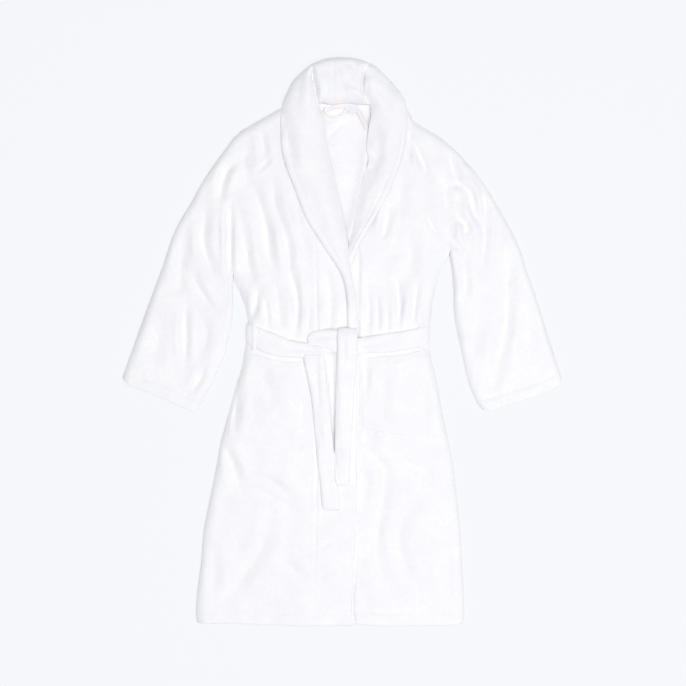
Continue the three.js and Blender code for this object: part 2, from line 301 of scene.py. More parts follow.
# %% Material helpers
def linear(hex_colour):
    """An sRGB hex colour as linear RGBA."""
    parts = [int(hex_colour[k : k + 2], 16) / 255 for k in (0, 2, 4)]
    return [p / 12.92 if p <= 0.04045 else ((p + 0.055) / 1.055) ** 2.4 for p in parts] + [1.0]


def add_node(tree, kind, inputs=None, **settings):
    """Adds a node, sets it, and sets or links its inputs."""
    made = tree.nodes.new(kind)
    for name, value in settings.items():
        setattr(made, name, value)
    for socket, value in (inputs or {}).items():
        if isinstance(value, bpy.types.NodeSocket):
            tree.links.new(value, made.inputs[socket])
        else:
            made.inputs[socket].default_value = value
    return made


def new_material(name):
    """An empty node material and its tree."""
    material = bpy.data.materials.new(name)
    material.use_nodes = True
    material.node_tree.nodes.clear()
    return material, material.node_tree


# %% [markdown]
# ### Coral fleece
# A polyester pile, knitted, sheared to about 4 mm and brushed. The eye sees no weave: it sees a soft
# matt surface, mottled where the pile leans different ways, with a pale bloom at grazing angles that
# the sheen gives. Single tufts are 1 to 2 mm, and clumps of them 6 to 10 mm.


# %% Coral fleece
def plush(name, light, shade, clump_mm=8.0, tuft_mm=1.8, depth_mm=1.0):
    """Brushed pile: clumps and tufts as bump, and a slight change of tone with the lie of the pile."""
    material, tree = new_material(name)
    where = add_node(tree, "ShaderNodeTexCoord").outputs["Object"]
    clump = add_node(
        tree, "ShaderNodeTexNoise",
        {"Vector": where, "Scale": 1 / (clump_mm * MM), "Detail": 3.0, "Roughness": 0.6, "Distortion": 0.6},
    )
    tuft = add_node(
        tree, "ShaderNodeTexNoise",
        {"Vector": where, "Scale": 1 / (tuft_mm * MM), "Detail": 2.0, "Roughness": 0.7},
    )
    lean = add_node(
        tree, "ShaderNodeTexNoise",
        {"Vector": where, "Scale": 1 / (45 * MM), "Detail": 2.0, "Roughness": 0.5},
    )
    mixed = add_node(
        tree, "ShaderNodeMath", {0: clump.outputs["Fac"], 1: lean.outputs["Fac"]}, operation="ADD"
    )
    tone = add_node(tree, "ShaderNodeMapRange", {"Value": mixed.outputs[0], "From Min": 0.7, "From Max": 1.3})
    # A Mix node has sockets of several kinds with one name, so its two colours are set by place.
    colour = add_node(
        tree, "ShaderNodeMix",
        {"Factor": tone.outputs[0], 6: linear(shade), 7: linear(light)},
        data_type="RGBA",
    )
    coarse = add_node(
        tree, "ShaderNodeBump",
        {"Height": clump.outputs["Fac"], "Distance": depth_mm * MM, "Strength": 0.55},
    )
    fine = add_node(
        tree, "ShaderNodeBump",
        {"Height": tuft.outputs["Fac"], "Distance": 0.5 * MM, "Strength": 0.6, "Normal": coarse.outputs[0]},
    )
    shader = add_node(
        tree, "ShaderNodeBsdfPrincipled",
        {
            "Base Color": colour.outputs[2], "Normal": fine.outputs[0], "Roughness": 0.96,
            "Specular IOR Level": 0.18, "Sheen Weight": 0.35, "Sheen Roughness": 0.6,
        },
    )
    add_node(tree, "ShaderNodeOutputMaterial", {"Surface": shader.outputs[0]})
    return material


fleece = plush("white coral fleece", "FFFFFF", "F9F8FD")
sash_fleece = plush("white coral fleece, doubled for the sash", "FFFFFF", "F9F8FD", clump_mm=6.5)
print("made:", fleece.name, "and", sash_fleece.name)


# %% [markdown]
# ### Tape, label and thread
# The neck tape is a cotton twill, whose fine diagonal ribs are about 1 mm apart. The labels are woven
# satin, smooth enough for a soft shine. The thread is spun polyester.


# %% Tape, label and thread
WAVE_BAND = 0.314  # metres from band to band of a wave texture at scale 1, which is two pi over 20


def woven(name, colour, rib_mm, turn, roughness, sheen):
    """A woven strip: fine ribs at an angle, as bump."""
    material, tree = new_material(name)
    where = add_node(tree, "ShaderNodeTexCoord").outputs["Object"]
    turned = add_node(tree, "ShaderNodeMapping", {"Vector": where, "Rotation": (0, 0, math.radians(turn))})
    ribs = add_node(
        tree, "ShaderNodeTexWave",
        {"Vector": turned.outputs[0], "Scale": WAVE_BAND / (rib_mm * MM), "Distortion": 0.4},
    )
    bump = add_node(
        tree, "ShaderNodeBump", {"Height": ribs.outputs["Fac"], "Distance": 0.15 * MM, "Strength": 0.6}
    )
    shader = add_node(
        tree, "ShaderNodeBsdfPrincipled",
        {
            "Base Color": linear(colour), "Normal": bump.outputs[0], "Roughness": roughness,
            "Sheen Weight": sheen,
        },
    )
    add_node(tree, "ShaderNodeOutputMaterial", {"Surface": shader.outputs[0]})
    return material


twill = woven("cotton twill tape", "F6F0EE", 1.1, 32, 0.85, 0.2)
satin = woven("woven satin label", "F1F2F5", 0.6, 0, 0.4, 0.0)
thread = woven("spun polyester thread", "F3F2F7", 0.5, 45, 0.7, 0.1)
print("made:", ", ".join(material.name for material in (twill, satin, thread)))

# %% [markdown]
# ## The outline of each half
# Half of the robe is a body panel and a sleeve that meet on the armhole. These curves are their shared
# edges. The body's side runs from the underarm to the hem, and the sleeve's two edges run to the cuff.

# %% Outlines of the wearer's right half
shoulder_r = curve(
    (-ARMHOLE, 449), (-214, 467), (-186, 484), (-155, 501.5), (-131, 514), (-90, 520), (-58, NECK - 1)
)
side_r = curve(
    (-ARMHOLE, 449), (-ARMHOLE, 300), (-ARMHOLE, 150), (-226, 114), (-212, 79), (-206, 44), (-208, 9),
    (-214, -26), (-221, -62), (-232, -97), (-241, -132), (-256, -185), (-266, -222), (-275, -273),
    (-289, -343), (-303, -414), (-309, -484), (-318, -554), (-320, -602), (-316.5, -617),
)
free_r = curve(
    (-58, NECK - 1), (-46, 486), (-41, 440), (-31, 396), (-17, 335), (-4, 275), (7, 218), (12, 172),
    (20, 120), (29, 70), (34, 30), (35, -26), (34, -183), (33, -282), (34, -339), (29, -458), (22, -576),
    (26, HEM + 3),
)
hem_r = curve((-316.5, -617), (-250, -616), (-160, -619), (-80, -620), (26, HEM + 3))
sleeve_outer_r = curve(
    (-ARMHOLE, 449), (-263, 414), (-289, 378), (-311, 343), (-330, 308), (-351, 273), (-369, 238),
    (-382, 202), (-393, 167), (-406, 132), (-419, 97), (-432, 62), (-445, 26), (-457, -9), (-470, -44),
    (-482, -79),
)
sleeve_inner_r = curve(
    (-ARMHOLE, 150), (-238.5, 114), (-237, 80), (-240, 44), (-247, 9), (-256, -26), (-263, -44),
    (-278, -79), (-296, -114), (-306, -134), (-314, -149),
)
cuff_r = curve((-482, -79), (-461, -97), (-412, -115), (-375, -131), (-335, -149), (-314, -149))
armhole_r = curve((-ARMHOLE, 449), (-ARMHOLE, 150))

# %% Outlines of the wearer's left half
shoulder_l = curve((72, NECK - 1), (104, 521), (142, 513), (160, 484), (188, 467), (217, 449), (ARMHOLE, 433))
side_l = curve(
    (ARMHOLE, 433), (ARMHOLE, 320), (ARMHOLE, 194), (221, 167), (211, 132), (203, 97), (197, 55), (194, 18),
    (193, -9), (199, -44), (208, -79), (215, -114), (221, -150), (229, -187), (238, -231), (246, -276),
    (254, -343), (262, -422), (266, -500), (269, -556), (270, -602), (266, -619),
)
free_l = curve(
    (72, NECK - 1), (70, 480), (64, 430), (63, 398), (54, 360), (43, 308), (28, 238), (16, 190),
    (-20, 110), (-50, 60), (-55, 0), (-55, -200), (-55, -400), (-55, HEM + 1),
)
hem_l = curve((-55, HEM + 1), (26, -619), (90, -622), (160, -621), (266, -619))
sleeve_outer_l = curve(
    (ARMHOLE, 433), (258, 414), (274, 396), (291, 378), (316, 343), (338, 308), (358, 273), (377, 238),
    (393, 202), (410, 150), (423, 114), (434, 79), (445, 44), (456, 9), (467, -26), (478, -60), (485, -79),
)
sleeve_inner_l = curve(
    (ARMHOLE, 194), (243, 150), (246, 110), (246, 80), (250, 44), (257, 9), (265, -26), (272, -60),
    (282, -97), (297, -132), (309, -149),
)
cuff_l = curve((485, -79), (476, -97), (439, -114), (388, -131), (330, -149), (309, -149))
armhole_l = curve((ARMHOLE, 433), (ARMHOLE, 194))
print("armholes in mm: right", np.ptp(armhole_r[:, 1]), "and left", np.ptp(armhole_l[:, 1]))

# %% [markdown]
# ## Where the folds run
# The body folds hang from the shoulder and armhole towards the belt, and fan out again below it. The
# wearer's left sleeve is bunched at the underarm, which leaves a curled roll of cloth there.

# %% Folds of the right half
FACING_LINE = [(-57, 236), (-54, 92), (-53, -20), (-54, -244), (-56, -376), (-63, -612)]
FOLDS_RIGHT = [
    # from the shoulder and the collar down to the belt
    ([(-175, 458), (-170, 425), (-164, 390)], 9, 3.0),
    ([(-195, 350), (-168, 268), (-160, 198), (-132, 130)], 17, 6.5),
    ([(-153, 372), (-144, 301), (-120, 218), (-105, 97)], 12, 4.5),
    ([(-188, 367), (-153, 403)], 5, 1.2),
    ([(-206, 430), (-212, 380), (-206, 330)], 12, 2.5),
    ([(-110, 330), (-92, 250), (-78, 170)], 12, 2.0),
    ([(-210, 250), (-205, 180), (-190, 120)], 13, 3.0),
    # gathers above the belt
    ([(-106, 142), (-97, 84), (-101, 22)], 8, 4.6),
    ([(-182, 115), (-188, 76), (-198, 50)], 8, 3.0),
    ([(-168, 96), (-164, 66), (-160, 34)], 6, 1.6),
    ([(-146, 134), (-138, 80), (-133, 28)], 9, 2.4),
    ([(-80, 96), (-73, 60), (-76, 18)], 6, 1.8),
    ([(-34, 160), (-24, 96), (-25, 30)], 9, 2.2),
    # armhole and underarm
    ([(-245, 298), (-245, 211), (-243, 150)], 8, 6.0),
    ([(-226, 398), (-248, 376), (-265, 341)], 9, 2.6),
    # skirt
    ([(-262, -215), (-238, -268), (-219, -322)], 12, 3.4),
    ([(-206, -306), (-160, -304), (-116, -334), (-72, -358)], 10, 2.2),
    ([(-196, -316), (-140, -344), (-78, -378)], 10, 1.6),
    ([(-160, -380), (-178, -458), (-220, -519), (-252, -568)], 15, 2.2),
    ([(-135, -474), (-76, -516)], 12, 2.0),
    ([(-226, -95), (-232, -150), (-236, -200)], 11, 4.0),
    ([(-180, -60), (-160, -100), (-150, -150)], 14, 1.8),
    ([(-26, 60), (-23, -30), (-19, -140), (-14, -290)], 10, 5.6),
    ([(-60, -455), (-12, -432)], 6, 1.3),
    ([(-60, -518), (-18, -498)], 6, 1.3),
    ([(-286, -430), (-280, -500), (-284, -570)], 14, 2.0),
    (FACING_LINE, 3.0, 1.4),  # the groove of the stitches that hold the facing
]

# %% Folds of the left half
FOLDS_LEFT = [
    ([(147, 466), (150, 430), (149, 396)], 8, 2.6),
    ([(157, 450), (172, 405), (192, 360)], 8, 3.8),
    ([(107, 308), (98, 262), (90, 220)], 10, 5.0),
    ([(135, 380), (128, 320), (122, 250)], 13, 2.2),
    ([(221, 372), (228, 325), (233, 282)], 10, 3.0),
    ([(188, 272), (200, 250), (212, 230)], 6, 2.4),
    ([(150, 250), (152, 190), (142, 130)], 14, 2.6),
    # gathers above the belt
    ([(120, 138), (127, 84), (125, 30)], 7, 4.2),
    ([(76, 112), (80, 66), (79, 18)], 6, 2.4),
    ([(96, 88), (99, 58), (101, 22)], 5, 2.0),
    ([(166, 130), (161, 84), (157, 36)], 8, 3.8),
    ([(54, 134), (61, 80), (57, 16)], 7, 1.8),
    ([(184, 106), (179, 70), (176, 42)], 7, 2.0),
    ([(146, 82), (144, 60), (141, 30)], 5, 1.6),
    # armhole, and the roll of cloth bunched under the arm
    ([(236, 420), (246, 375), (259, 335)], 12, 4.5),
    ([(236, 339), (262, 341), (283, 326), (290, 290), (311, 240)], 8, 5.0),
    ([(250, 300), (268, 290), (272, 262)], 12, -2.7),
    ([(258, 272), (273, 252), (266, 230)], 7, 3.4),
    ([(248, 262), (256, 242), (252, 224)], 11, -3.0),
    ([(236, 226), (255, 210), (274, 200)], 8, 3.4),
    # skirt
    ([(52, -190), (69, -244), (96, -282), (94, -334), (80, -420), (86, -490), (100, -540)], 14, 2.7),
    ([(172, -350), (134, -388), (124, -434), (140, -492), (168, -530)], 15, 2.1),
    ([(120, -250), (180, -284), (228, -322)], 10, 2.0),
    ([(54, -29), (56, -112)], 6, 1.4),
    ([(160, -70), (180, -120), (182, -180)], 15, 2.2),
    ([(100, -60), (90, -110), (96, -170)], 14, 1.6),
    ([(240, -380), (232, -470), (240, -560)], 15, 2.0),
    ([(40, -585), (90, -588), (150, -586)], 8, 1.2),
]

# %% Folds of the sleeves
FOLDS_RIGHT_SLEEVE = [
    ([(-254, 396), (-262, 350), (-266, 300)], 10, 3.0),
    ([(-296, 290), (-303, 216), (-274, 134)], 11, 4.0),
    ([(-346, 240), (-352, 170), (-358, 95)], 13, 3.0),
    ([(-342, 82), (-343, 20), (-342, -52)], 9, 4.5),
    ([(-331, 150), (-305, 103), (-276, 66)], 9, 3.0),
    ([(-298, -56), (-312, -84), (-328, -112)], 9, 3.0),
    ([(-390, 60), (-404, 0), (-420, -60)], 16, 2.4),
    ([(-300, 60), (-296, 10), (-306, -30)], 12, 2.0),
]
FOLDS_LEFT_SLEEVE = [
    ([(300, 368), (314, 290), (315, 224), (304, 152)], 10, 4.0),
    ([(366, 195), (363, 66), (353, -2), (327, -116)], 14, 4.5),
    ([(289, 60), (291, 0), (288, -54)], 13, 2.4),
    ([(398, 90), (412, 10), (424, -60)], 16, 2.2),
    ([(330, 300), (342, 240), (344, 190)], 13, 2.0),
    ([(262, 190), (272, 140), (270, 90)], 9, 3.0),
]
print("folds drawn:", sum(map(len, (FOLDS_RIGHT, FOLDS_LEFT, FOLDS_RIGHT_SLEEVE, FOLDS_LEFT_SLEEVE))))

# %% [markdown]
# ## The lie of the cloth
# One height function covers a whole half, sleeve and body alike. Two panels that meet then have the
# same height on their seam, so the cloth runs on without a step.


# %% Height of the upper cloth
FOLD_DEPTH = 2.0  # scales every drawn fold of the body and the sleeves


def lie(x, y, side):
    """The height of the upper cloth of one half, before its edges are turned down."""
    s = -1 if side == "right" else 1
    level = RIGHT_TOP if side == "right" else LEFT_TOP
    level = level + (SLEEVE_TOP - level) * ease(s * x, 120, ARMHOLE)
    if side == "left":
        level = level + 3.5 * ease(x, 40, 90) * (1 - ease(x, 150, ARMHOLE))
    # The cloth puffs out just above the sash, which presses it down at the waist.
    blouse = 3.0 * np.exp(-(((y - WAIST - 52) / 34) ** 2)) - 4.0 * np.exp(-(((y - WAIST) / 22) ** 2))
    blouse *= 1 - ease(np.abs(x), 190, 240)
    body, sleeve = (FOLDS_RIGHT, FOLDS_RIGHT_SLEEVE) if side == "right" else (FOLDS_LEFT, FOLDS_LEFT_SLEEVE)
    # Each side has seeds of its own, so that the two halves aren't twins.
    wave = lumps(x, y, 95, 4.6, 3.0 + s, 1.7) + lumps(x, y, 34, 2.2, 7.0 + s, 1.5)
    grain = lumps(x, y, 11, 0.55, 11.0 + s)
    return level + blouse + FOLD_DEPTH * fold_heights(x, y, body + sleeve) + wave + grain


def hem_swell(distance):
    """The extra height of a turned hem, with a groove along its line of stitching."""
    band = 1.8 * (1 - ease(distance, HEM_BAND - 5, HEM_BAND + 3))
    groove = -1.0 * np.exp(-(((distance - HEM_BAND) / 2.6) ** 2))
    return band + groove


NECK_DROP = 12.0  # how far the fronts sink under the collar's roll
FACING = 3.0  # thickness of the facing, pressed flat under the front
SEAM_HEIGHT = 8.0  # where front and back meet along a side seam
SIDE_RADIUS = 24.0  # how softly the cloth turns down to it


# %% [markdown]
# ## The fronts
# Each front turns down to the side seam on its outer side, ends in a turned hem, and has a free edge
# down the middle. The wearer's right front is on top.


# %% Fronts
def front(name, side, left, right, top, bottom, outer):
    """One front panel. Outer says which side of the grid is the side seam: 0 for left, 1 for right."""
    plan = patch(left, right, 3.4, top=top, bottom=bottom)
    sides = runs(plan)
    x, y = plan[..., 0], plan[..., 1]
    height = lie(x, y, side) + hem_swell(sides[3])
    seam_run, free_run = sides[outer], sides[1 - outer]
    below_arm = 1 - ease(y, 130, 165) if side == "right" else 1 - ease(y, 175, 210)
    turn = round_over(seam_run, SIDE_RADIUS) * below_arm + (1 - below_arm)
    turn = np.minimum(turn, round_over(sides[2], SIDE_RADIUS))
    # Under the collar the cloth sinks towards the neck opening, which gives the roll its room.
    height -= NECK_DROP * (1 - ease(free_run, 0, 60)) * ease(y, 210, 320)
    height = SEAM_HEIGHT + (height - SEAM_HEIGHT) * turn
    if side == "left":
        # Where the other front and its facing lie on top, this one stays below them both.
        below = lie(x, y, "right") - PILE - FACING - 1.0
        edge_x = np.interp(-y, -free_r[:, 1], free_r[:, 0])
        edge_x = edge_x + (34 - edge_x) * ease(y, 20, 90)
        reach = 26 + 10 * ease(y, 20, 90)
        dip = 3.0 * np.exp(-(((x - edge_x - 3) / 5) ** 2)) * (1 - ease(y, 20, 90))
        height = np.minimum(height, below - dip + 40 * ease(x, edge_x + 2, edge_x + reach))
    rim = np.minimum(round_over(sides[3], EDGE_ROUND), round_over(free_run, EDGE_ROUND))
    height = height - (1 - rim) * PILE / 2
    made = cloth(name, skin_from(plan, height), np.maximum(PILE * rim, THINNEST), fleece)
    print("  cut area", round(plan_area(plan), 3), "square metres")
    return made, plan


right_front, right_plan = front("right_front_cloth", "right", side_r, free_r, shoulder_r, hem_r, 0)
left_front, left_plan = front("left_front_cloth", "left", free_l, side_l, shoulder_l, hem_l, 1)

# %% [markdown]
# ## The back
# One panel lies on the surface. Its edges lift a little to meet the fronts, and its inside shows
# between the lapels, where it swells towards the eye.

# %% Back
back_left = curve(
    (-36, NECK), (-90, 520), (-131, 511), (-186, 480), (-ARMHOLE + 4, 445), (-ARMHOLE, 300), (-ARMHOLE, 150),
    (-222, 110), (-204, 44), (-206, 0), (-219, -62), (-239, -132), (-264, -222), (-287, -343), (-301, -414),
    (-311, -510), (-317, -600), (-313, -613),
)
back_right = curve(
    (60, NECK), (110, 516), (142, 508), (186, 464), (ARMHOLE - 4, 430), (ARMHOLE, 320), (ARMHOLE, 194),
    (219, 167), (201, 97), (192, 18), (192, -9), (206, -79), (226, -187), (244, -276), (260, -422),
    (266, -520), (267, -600), (263, -615),
)
back_plan = patch(back_left, back_right, 5.0)
back_sides = runs(back_plan)
bx, by = back_plan[..., 0], back_plan[..., 1]
edge = np.minimum(np.minimum(back_sides[0], back_sides[1]), back_sides[2])
underside = 0.5 + (SEAM_HEIGHT - 4.5) * (1 - round_over(edge, 22))
over_sash = ease(by, WAIST - 30, WAIST - 23) * (1 - ease(by, WAIST + 23, WAIST + 30))
underside = np.maximum(underside, 4.6 * over_sash)
neck_swell = 3.0 * np.exp(-(((bx - 12) / 60) ** 2 + ((by - 385) / 90) ** 2))
neck_swell += 9.0 * np.exp(-(((bx - 15) / 24) ** 2 + ((by - 225) / 60) ** 2))
roll_x = np.interp(-by, [-480, -430, -360, -308, -238, -200], [66, 57, 49, 38, 23, 13])
beside_roll = np.exp(-(((bx - roll_x) / 11) ** 2)) * (1 - ease(bx - roll_x, 2, 9))
neck_swell += 6.5 * beside_roll * ease(by, 195, 260) * (1 - ease(by, 440, 490))
inside_top = underside + PILE + neck_swell + lumps(bx, by, 40, 0.8, 21.0)
inside_top = inside_top + fold_heights(
    bx, by,
    [
        ([(-34, 438), (-14, 469), (22, 495)], 6, 2.2),
        ([(-41, 475), (-8, 484), (24, 506)], 9, -2.5),
        ([(30, 517), (42, 497), (57, 472)], 3, -2.2),
        ([(43, 431), (56, 419)], 5, 2.0),
        ([(56, 400), (67, 386)], 5, 2.0),
        ([(10, 400), (14, 320), (16, 240)], 16, 1.5),
    ],
)
rim = round_over(np.minimum(edge, back_sides[3]), 3.0)
back_skin = skin_from(back_plan, inside_top - (1 - rim) * PILE / 2)
back_low = np.minimum(underside + (1 - rim) * PILE / 2, back_skin[..., 2] - THINNEST)
back_cloth = cloth("back_cloth", back_skin, PILE, fleece, inside=skin_from(back_plan, back_low))

# %% [markdown]
# ## The sleeves
# A sleeve is a flattened tube, open at the cuff. Its skin is a ring: out over the top, round the outer
# fold, and back underneath. The first and last columns of the grid coincide on the inner fold, so the
# walls between them are deleted and `remove_doubles` joins them.


# %% Sleeves
NARROWER = 1.2  # how far the inner skin stays inside each fold


def sleeve(name, side, outer, inner, top, bottom):
    """One sleeve as a tube of cloth."""
    left, right = (outer, inner) if side == "right" else (inner, outer)
    ends = (top, bottom) if side == "right" else (top[::-1], bottom[::-1])
    plan = patch(left, right, 3.6, top=ends[0], bottom=ends[1])
    sides = runs(plan)
    turn = round_over(np.minimum(sides[0], sides[1]), SIDE_RADIUS)
    upper = SEAM_HEIGHT + (lie(plan[..., 0], plan[..., 1], side) + hem_swell(sides[3]) - SEAM_HEIGHT) * turn
    lower = 0.5 + (SEAM_HEIGHT - 0.5) * (1 - turn)
    mouth = round_over(sides[3], EDGE_ROUND)
    upper, lower = upper - (1 - mouth) * turn * PILE / 2, lower + (1 - mouth) * turn * PILE / 2
    # The inner skin stays inside the tube, a little narrower, and closes along the same two folds.
    thick = np.maximum(PILE * mouth, THINNEST) * np.maximum(turn, 0.12)
    middle = (upper + lower) / 2
    gap = 0.2 * np.minimum(10 * turn, 1)
    roof = np.maximum(upper - thick, middle + gap)
    base = np.minimum(lower + thick, middle - gap)
    across = plan[:, -1:] - plan[:, :1]
    across /= np.linalg.norm(across, axis=2, keepdims=True)
    inwards = np.where(sides[0] < sides[1], 1, -1)
    narrow = plan + across * (NARROWER * (1 - turn) * inwards)[..., None]
    ring = np.concatenate([skin_from(plan, upper), skin_from(plan, lower)[:, ::-1][:, 1:]], axis=1)
    inside = np.concatenate([skin_from(narrow, roof), skin_from(narrow, base)[:, ::-1][:, 1:]], axis=1)
    return cloth(name, ring, 0, fleece, ring=True, inside=inside), plan


right_sleeve, right_sleeve_plan = sleeve(
    "right_sleeve_cloth", "right", sleeve_outer_r, sleeve_inner_r, armhole_r, cuff_r
)
left_sleeve, left_sleeve_plan = sleeve(
    "left_sleeve_cloth", "left", sleeve_outer_l, sleeve_inner_l, armhole_l, cuff_l
)

# %% [markdown]
# ## Finding the surface below
# A pocket, a belt loop or a stitch lies on cloth that is already made. A ray cast straight down onto it
# finds its height, so each piece follows the folds of what it is sewn to.


# %% Heights of finished cloth
def tree_of(piece):
    """A search tree over a piece's faces, for casting rays."""
    mesh = piece.data
    return BVHTree.FromPolygons([v.co for v in mesh.vertices], [p.vertices for p in mesh.polygons])


def heights_on(trees, x, y, missing=0.0):
    """The height in mm of the highest of some pieces at each place."""
    found = np.full(x.shape, missing)
    for index in np.ndindex(x.shape):
        for tree in trees:
            spot = tree.ray_cast(Vector((x[index] * MM, y[index] * MM, 0.2)), Vector((0, 0, -1)))[0]
            if spot is not None:
                found[index] = max(found[index], spot.z / MM)
    return found


front_trees = {"right": tree_of(right_front), "left": tree_of(left_front)}

# %% [markdown]
# ## The shawl collar
# Each half of the collar is cloth that rolls over along the neck and falls back onto the front. Across
# it, the skin climbs from the outer edge, swells into a roll, and turns down into the neck on a
# half circle. Its outer edge is turned and top-stitched, which leaves a puffed band.


# %% Falls of the collar
COLLAR_BAND = 15.0  # from the collar's edge to its row of stitching
COLLAR_PLY = 4.2  # thickness of each of the collar's two layers
COLLAR_FOLDS = 1.3  # scales the folds drawn on the collar


def fall(name, front_tree, outer, roll, crest, rim_heights, inner, folds, seed, crest_at, roll_power, tuck):
    """One half of the collar, over the front that it falls on.

    Crest, rim_heights and inner are the heights of its crest, its outer edge and its edge in the neck,
    and tuck is the radius of the turn in the neck, all as (share along, value). Crest_at is where the
    crest lies across the cloth, from 0 to 1. A lower roll_power keeps the far side high for longer, so
    that it drops more steeply."""
    plan = patch(outer, roll, 3.0)
    left_run, right_run, head, tail = runs(plan)
    x, y = plan[..., 0], plan[..., 1]
    share = head / head[-1:]
    top, foot, neck = [np.interp(share, *np.array(part, float).T) for part in (crest, rim_heights, inner)]
    below = smoothed(heights_on([front_tree], x, y), 9)
    resting = ease(share, 0.22, 0.32)
    foot = foot + (below[:, :1] + PILE + 0.6 - foot) * resting
    p = left_run / left_run[:, -1:]
    # Behind the shoulder the collar is a full roll, with a steep side towards the neck.
    full = 1 - ease(share, 0.12, 0.3)
    crest_at = crest_at + (0.6 - crest_at) * full
    roll_power = roll_power + (0.35 - roll_power) * full
    roundness = 0.62 + 0.5 * resting
    climb = np.sin(np.clip(p / crest_at, 0, 1) * np.pi / 2) ** roundness
    roll_off = np.cos(np.clip((p - crest_at) / (1 - crest_at), 0, 1) * np.pi / 2) ** roll_power
    height = np.where(p < crest_at, foot + (top - foot) * climb, neck + (top - neck) * roll_off)
    inside_edge = ease(right_run, 0, 14)
    height += COLLAR_FOLDS * fold_heights(x, y, folds) * inside_edge
    height += lumps(x, y, 42, 2.6, seed, 1.5) * inside_edge + lumps(x, y, 12, 0.6, seed + 5)
    band = resting * (1 - ease(left_run, COLLAR_BAND - 5, COLLAR_BAND + 3))
    height += 1.0 * band - 1.3 * resting * np.exp(-(((left_run - COLLAR_BAND) / 2.8) ** 2))
    height = np.maximum(height, below + PILE)
    rim = np.minimum(round_over(left_run, 5.0), round_over(tail, 5))
    height -= (1 - rim) * COLLAR_PLY * 0.85
    # The upper end closes down towards 14 mm, beside the part that stands behind the neck.
    height = 14 + (height - 14) * np.maximum(round_over(head, 20), 0.12)
    skin = skin_from(plan, height)
    # Past the roll's edge the cloth turns down and back under itself, out of sight.
    across = plan[:, -1] - plan[:, -6]
    across /= np.linalg.norm(across, axis=1, keepdims=True)
    widest = np.interp(share[:, -1], *np.array(tuck, float).T)
    radius = np.clip((height[:, -1] - below[:, -1] - 3) / 2, 1.5, widest)
    tucked = [
        np.column_stack([
            plan[:, -1] + across * (0.6 * radius * math.sin(turn))[:, None],
            height[:, -1] - radius * (1 - math.cos(turn)),
        ])
        for turn in np.linspace(0, math.radians(160), 10)[1:]
    ]
    skin = np.concatenate([skin, np.stack(tucked, axis=1)], axis=1)
    closing = np.concatenate([rim, np.repeat(rim[:, -1:], len(tucked), axis=1)], axis=1)
    # The cloth is drawn thinner round the roll's edge, whose radius is less than the cloth's thickness.
    tucked_thin = np.tile(np.linspace(0.3, 0.12, len(tucked)), (len(plan), 1))
    thin = np.concatenate([0.35 + 0.65 * ease(right_run, 0, 9), tucked_thin], axis=1)
    made = cloth(name, skin, np.maximum(COLLAR_PLY * closing * thin, THINNEST), fleece)
    return made, plan, skin


roll_r = curve(
    (-57, 606), (-65, 586), (-59, 556), (-51, 515), (-41, 484), (-37, 440), (-27, 396), (-13, 335), (0, 275),
    (11, 218), (16, 172), (24, 120), (31, 70), (33, 10),
)
outer_r = curve(
    (-62, 613), (-89, 592), (-107, 573), (-118, 552), (-128, 528), (-133, 500), (-133, 465), (-130, 420),
    (-119, 378), (-104, 340), (-78, 273), (-38, 207), (0, 145), (11, 97), (13, 50), (15, 10),
)
roll_l = curve(
    (44, 607), (51, 586), (49, 562), (53, 538), (64, 521), (66, 500), (61, 470), (56, 427), (60, 398),
    (49, 360), (38, 308), (23, 238), (13, 200), (0, 150), (-8, 110),
)
outer_l = curve(
    (58, 614), (76, 605), (92, 590), (110, 572), (126, 552), (137, 534), (143, 510), (144, 470), (138, 430),
    (126, 385), (107, 337), (77, 277), (46, 224), (28, 184), (14, 140), (8, 105),
)
right_fall, right_fall_plan, right_fall_skin = fall(
    "right_collar_fall", front_trees["right"], outer_r, roll_r,
    [(0, 40), (0.08, 48), (0.35, 47), (0.6, 44), (0.78, 41), (0.9, 38), (1, 35)],
    [(0, 14), (0.12, 16), (0.22, 24), (0.3, 33), (1, 33)],
    [(0, 30), (0.05, 25), (0.12, 25), (0.3, 25), (0.5, 25), (0.62, 30), (0.75, 35), (1, 34)],
    [
        ([(-82, 590), (-92, 550), (-96, 500)], 11, 3.0),
        ([(-116, 470), (-112, 430), (-98, 380)], 9, 1.8),
        ([(-72, 470), (-60, 420), (-52, 360)], 13, 2.0),
        ([(-70, 330), (-52, 280), (-30, 230)], 13, 1.8),
    ],
    31.0, 0.5, 0.75, [(0, 5), (1, 5)],
)
left_fall, left_fall_plan, left_fall_skin = fall(
    "left_collar_fall", front_trees["left"], outer_l, roll_l,
    [(0, 38), (0.08, 46), (0.18, 43), (0.3, 37), (0.45, 34), (0.6, 32), (0.7, 31), (0.8, 29), (1, 27)],
    [(0, 14), (0.12, 16), (0.22, 22), (0.3, 29), (1, 27)],
    [(0, 30), (0.05, 24), (0.12, 23), (0.3, 17), (0.6, 17), (0.8, 20), (1, 24)],
    [
        ([(60, 590), (84, 572), (108, 548)], 10, 2.6),
        ([(70, 560), (92, 540), (112, 500)], 10, 3.2),
        ([(120, 470), (112, 430), (104, 400)], 9, 2.0),
        ([(80, 470), (84, 420), (72, 370)], 11, 2.4),
        ([(70, 330), (60, 290), (44, 250)], 9, 2.0),
        ([(62, 420), (74, 410), (88, 404)], 6, 1.6),
        ([(56, 386), (68, 382), (80, 372)], 6, 1.4),
    ],
    37.0, 0.34, 1.15, [(0, 4), (0.12, 4), (0.2, 1.6), (0.72, 1.6), (0.82, 4), (1, 4)],
)

# %% [markdown]
# ### Behind the neck
# At the back the collar stands up from the neck seam and rolls away from the eye at the top. A seam down
# its middle joins the two halves, so each half is a piece of its own.


# %% The back of the collar
CENTRE_BACK = -16.0  # X of the seam that joins the two halves


